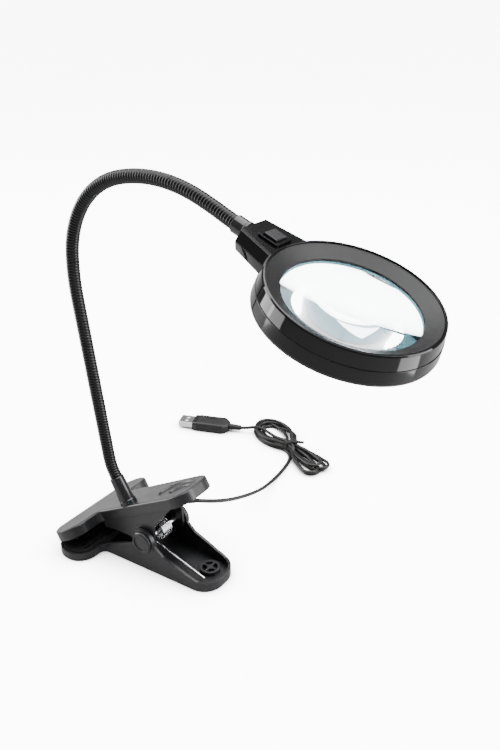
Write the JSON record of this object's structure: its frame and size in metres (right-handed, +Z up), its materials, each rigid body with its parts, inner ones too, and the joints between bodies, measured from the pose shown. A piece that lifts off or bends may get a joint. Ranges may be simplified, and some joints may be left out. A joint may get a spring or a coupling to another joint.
{
  "type": "gooseneck clip magnifier lamp",
  "caption": "Clip-on hobby magnifier: a round lens in a lit ring on a bendable gooseneck, on a spring clamp, with a cord tied in a hank and a plug.",
  "frame": {"origin": "middle of the lower jaw pad's gripping face, where the clip holds the edge it is fixed to", "axes": "+X from the jaw tips to the handles, +Z up out of the gripping face, +Y along the jaw"},
  "size_m": [0.274, 0.2426, 0.2498],
  "materials": {
    "clip_plastic": "satin black moulding",
    "pad_rubber": "ribbed soft pad",
    "spring_steel": "bright plated steel",
    "ferrule_black": "smooth black",
    "hose_steel": "black ribbed hose",
    "head_gloss": "polished black",
    "bezel_matte": "fine textured dark grey",
    "lens_glass": "clear polished",
    "clear_ring": "clear ribbed light guide",
    "board_white": "white circuit board",
    "led_cap": "pale yellow emitter",
    "button_plastic": "satin black",
    "cord_rubber": "soft black sheath",
    "tie_plastic": "black twist tie",
    "plug_plastic": "black overmould",
    "plug_steel": "plated connector shell",
    "tongue_plastic": "white insulator",
    "contact_gold": "gold flash"
  },
  "bodies": {
    "clip_upper": {"clip_upper_lever": "clip_plastic", "jaw_pad_upper": "pad_rubber", "base_ferrule": "ferrule_black", "hose_nut": "spring_steel", "neck_base": "hose_steel", "cord_grommet": "cord_rubber", "inner_lead": "cord_rubber", "spring_coil": "spring_steel", "usb_cord": "cord_rubber", "cord_hank": "cord_rubber", "cord_tie": "tie_plastic", "usb_cord_tail": "cord_rubber", "plug_relief": "cord_rubber", "plug_body": "plug_plastic", "plug_collar": "plug_plastic", "plug_shell": "plug_steel", "plug_tongue": "tongue_plastic", "plug_contacts": "contact_gold"},
    "clip_lower": {"clip_lower_lever": "clip_plastic", "jaw_pad_lower": "pad_rubber", "pivot_pin": "spring_steel", "pivot_caps": "clip_plastic", "spring_leg": "spring_steel"},
    "hose_1": {"neck_1": "hose_steel"},
    "hose_2": {"neck_2": "hose_steel"},
    "hose_3": {"neck_3": "hose_steel"},
    "hose_4": {"neck_4": "hose_steel"},
    "hose_5": {"neck_5": "hose_steel"},
    "head": {"neck_head": "hose_steel", "head_ferrule": "ferrule_black", "head_upper_shell": "head_gloss", "head_lower_shell": "head_gloss", "bezel_ring": "bezel_matte", "lens": "lens_glass", "lens_retainer": "bezel_matte", "light_ring": "clear_ring", "led_board": "board_white", "leds": "led_cap", "switch_body": "head_gloss", "head_screws": "spring_steel"},
    "button": {"switch_button": "button_plastic"}
  },
  "joints": [
    {"name": "jaw", "type": "hinge", "parent": "clip_upper", "child": "clip_lower", "pos_m": [0.0445, 0, 0.015], "axis": [0, -1, 0], "range_deg": [0, 30], "stiffness_Nm_per_rad": 0.3, "springref_deg": -85.94},
    {"name": "hose_bend_1", "type": "hinge", "parent": "clip_upper", "child": "hose_1", "pos_m": [0.01384, -0.00985, 0.06083], "axis": [0, -0.9999, 0.013], "range_deg": [-20, 20]},
    {"name": "hose_bend_2", "type": "hinge", "parent": "hose_1", "child": "hose_2", "pos_m": [0.00635, -0.00921, 0.11006], "axis": [0.9886, 0.002, 0.1504], "range_deg": [-20, 20]},
    {"name": "hose_bend_3", "type": "hinge", "parent": "hose_2", "child": "hose_3", "pos_m": [-0.00163, -0.00853, 0.16255], "axis": [0, -0.9999, 0.013], "range_deg": [-20, 20]},
    {"name": "hose_bend_4", "type": "hinge", "parent": "hose_3", "child": "hose_4", "pos_m": [0.0014, -0.00796, 0.2064], "axis": [0, -0.9999, 0.013], "range_deg": [-20, 20]},
    {"name": "hose_bend_5", "type": "hinge", "parent": "hose_4", "child": "hose_5", "pos_m": [0.03892, -0.00755, 0.23775], "axis": [0.2144, -0.0127, -0.9767], "range_deg": [-20, 20]},
    {"name": "hose_bend_6", "type": "hinge", "parent": "hose_5", "child": "head", "pos_m": [0.10307, -0.00776, 0.22857], "axis": [0, -0.9999, 0.013], "range_deg": [-20, 20]},
    {"name": "button_press", "type": "slide", "parent": "head", "child": "button", "axis": [-0.3242, 0.053, -0.9445], "range_m": [0, 0.001], "stiffness_N_per_m": 900, "springref_m": -0.0005}
  ]
}
